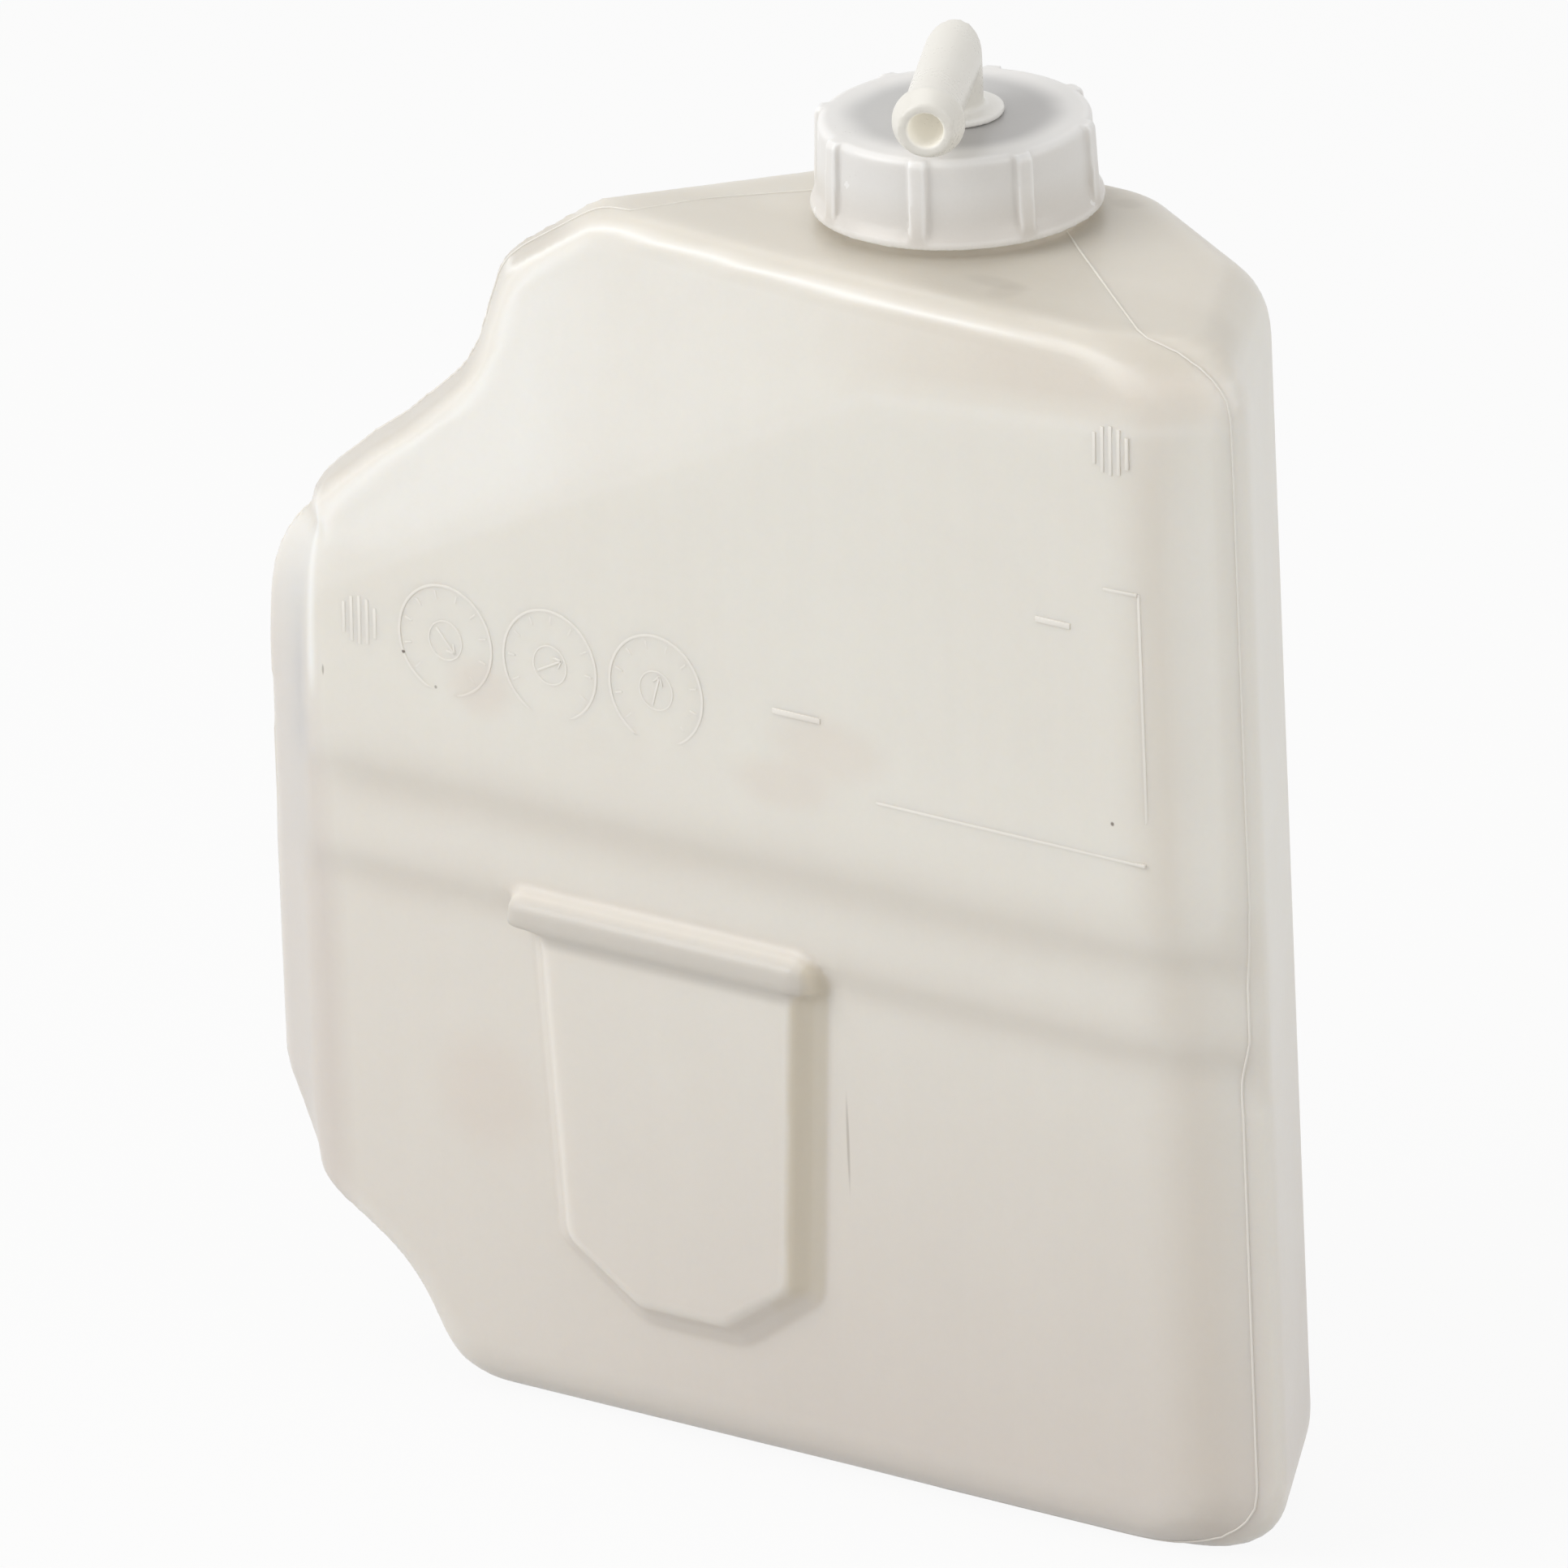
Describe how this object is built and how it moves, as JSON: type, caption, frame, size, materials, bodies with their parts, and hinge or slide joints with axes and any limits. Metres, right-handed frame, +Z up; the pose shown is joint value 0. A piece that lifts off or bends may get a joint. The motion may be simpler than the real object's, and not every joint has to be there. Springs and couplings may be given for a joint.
{
  "type": "coolant expansion tank",
  "caption": "Blow-moulded translucent coolant expansion tank with stepped front, bracket tongue, ribbed screw cap, swivelling barbed hose elbow and dip tube.",
  "frame": {"origin": "on the axis of the filler neck, in the plane of the flat base", "axes": "+Z up along the neck's axis, -Y towards the stepped front face with the bracket tongue, +X to the right when that face is looked at"},
  "size_m": [0.2096, 0.0708, 0.2516],
  "materials": {
    "tank_plastic": "satin, milky and translucent, natural high-density polyethylene",
    "cap_plastic": "satin, cool white and translucent, natural polypropylene",
    "elbow_plastic": "semi-gloss cream, natural polyamide",
    "tube_plastic": "satin, translucent, natural polyethylene tube",
    "rubber": "matt grey rubber"
  },
  "bodies": {
    "tank": {"tank": "tank_plastic"},
    "gasket": {"cap_gasket": "rubber"},
    "cap": {"cap": "cap_plastic"},
    "elbow": {"hose_elbow": "elbow_plastic", "elbow_seal": "rubber", "dip_tube": "tube_plastic"}
  },
  "joints": [
    {"name": "cap_lift", "type": "slide", "parent": "tank", "child": "gasket", "axis": [0, 0, 1], "range_m": [0, 0.24]},
    {"name": "cap_turn", "type": "hinge", "parent": "gasket", "child": "cap", "pos_m": [0, 0, 0.225], "axis": [0, 0, 1], "range_deg": [0, 540]},
    {"name": "elbow_swivel", "type": "hinge", "parent": "cap", "child": "elbow", "pos_m": [0, 0, 0.2354], "axis": [0, 0, 1], "continuous": true}
  ]
}
